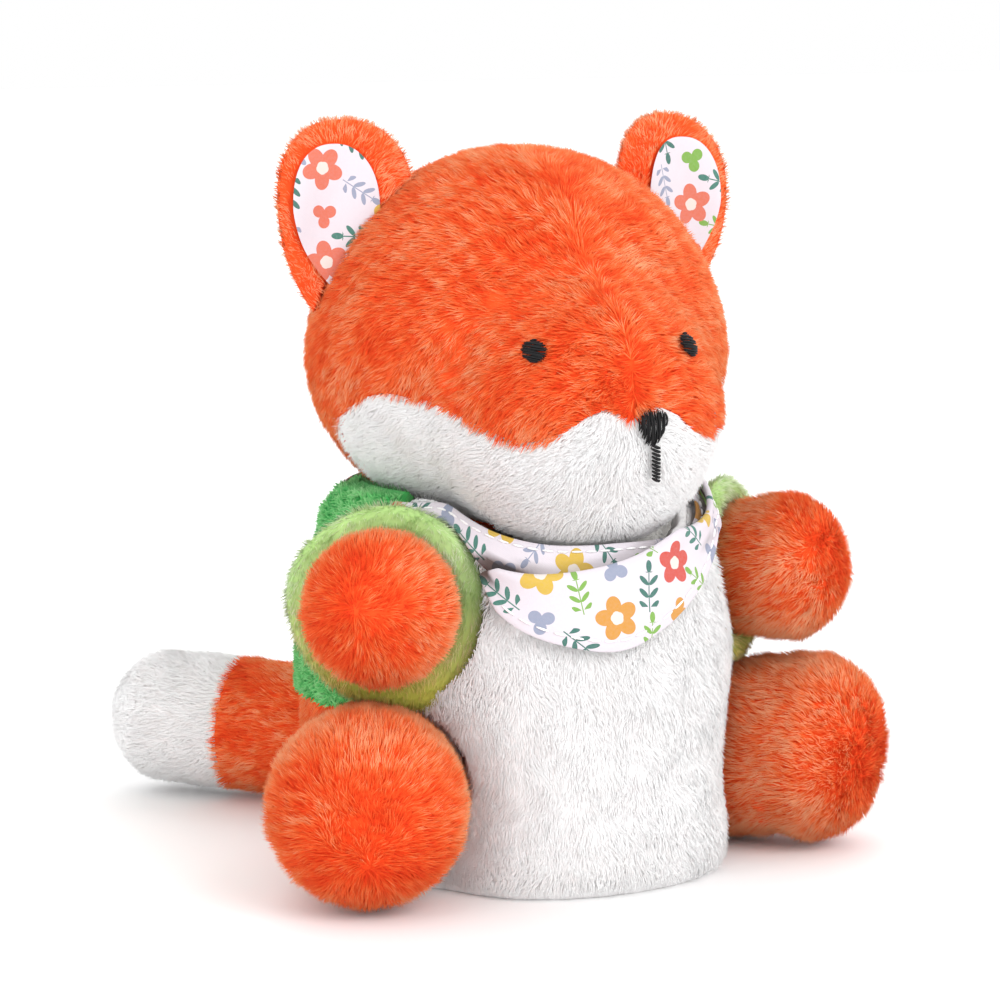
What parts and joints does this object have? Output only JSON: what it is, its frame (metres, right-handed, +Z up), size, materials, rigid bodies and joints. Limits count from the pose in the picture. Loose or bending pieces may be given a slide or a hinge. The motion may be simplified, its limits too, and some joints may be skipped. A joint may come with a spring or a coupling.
{
  "type": "plush fox",
  "caption": "Small sitting plush fox with a round head, swinging arms, legs and tail, a green plush jacket, a printed cotton neckerchief and cotton-lined ears.",
  "frame": {"origin": "on the ground, near the middle of the flat seat panel's underside", "axes": "+Z up, the fox faces -Y, its left side is +X"},
  "size_m": [0.183, 0.203, 0.194],
  "materials": {
    "orange_plush": "dense short plush pile, brushed down and back",
    "white_plush": "dense short plush pile",
    "green_plush": "nubby looped plush",
    "pale_green_plush": "short soft plush, turned back",
    "black_thread": "satin-stitch embroidery",
    "print_cotton": "plain-weave cotton with a small coloured print and topstitched hem",
    "filling": "loose polyester fibre filling",
    "bean_bag": "woven bag of small plastic beads"
  },
  "bodies": {
    "torso": {"belly_panel": "white_plush", "jacket_back": "green_plush", "rump_panel": "orange_plush", "seat_panel": "white_plush", "body_filling": "filling", "bean_bag": "bean_bag", "kerchief_band": "print_cotton", "kerchief_flap": "print_cotton"},
    "head": {"head_crown": "orange_plush", "head_face": "white_plush", "head_filling": "filling", "nose": "black_thread", "mouth_line": "black_thread", "eye_left": "black_thread", "eye_right": "black_thread", "ear_back_left": "orange_plush", "ear_back_right": "orange_plush", "ear_lining_left": "print_cotton", "ear_lining_right": "print_cotton"},
    "arm_left": {"sleeve_left": "green_plush", "cuff_left": "pale_green_plush", "paw_left": "orange_plush", "arm_filling_left": "filling"},
    "arm_right": {"sleeve_right": "green_plush", "cuff_right": "pale_green_plush", "paw_right": "orange_plush", "arm_filling_right": "filling"},
    "leg_left_body": {"leg_left": "orange_plush", "leg_filling_left": "filling"},
    "leg_right_body": {"leg_right": "orange_plush", "leg_filling_right": "filling"},
    "tail": {"tail_base": "orange_plush", "tail_tip": "white_plush", "tail_filling": "filling"}
  },
  "joints": [
    {"name": "neck", "type": "hinge", "parent": "torso", "child": "head", "pos_m": [0, -0.0016, 0.136], "axis": [0, 0, 1], "range_deg": [-5, 16], "stiffness_Nm_per_rad": 0.6},
    {"name": "shoulder_left", "type": "hinge", "parent": "torso", "child": "arm_left", "pos_m": [0.046, -0.012, 0.073], "axis": [0, 0, 1], "range_deg": [-3, 15], "stiffness_Nm_per_rad": 0.12},
    {"name": "shoulder_right", "type": "hinge", "parent": "torso", "child": "arm_right", "pos_m": [-0.046, -0.012, 0.073], "axis": [0, 0, -1], "range_deg": [-3, 15], "stiffness_Nm_per_rad": 0.12},
    {"name": "hip_left", "type": "hinge", "parent": "torso", "child": "leg_left_body", "pos_m": [0.049, -0.01, 0.0275], "axis": [0, 0, 1], "range_deg": [-2, 18], "stiffness_Nm_per_rad": 0.2},
    {"name": "hip_right", "type": "hinge", "parent": "torso", "child": "leg_right_body", "pos_m": [-0.049, -0.01, 0.0275], "axis": [0, 0, -1], "range_deg": [-2, 18], "stiffness_Nm_per_rad": 0.2},
    {"name": "tail_root", "type": "hinge", "parent": "torso", "child": "tail", "pos_m": [0, 0.058, 0.019], "axis": [0, 0, 1], "range_deg": [-18, 18], "stiffness_Nm_per_rad": 0.15}
  ]
}
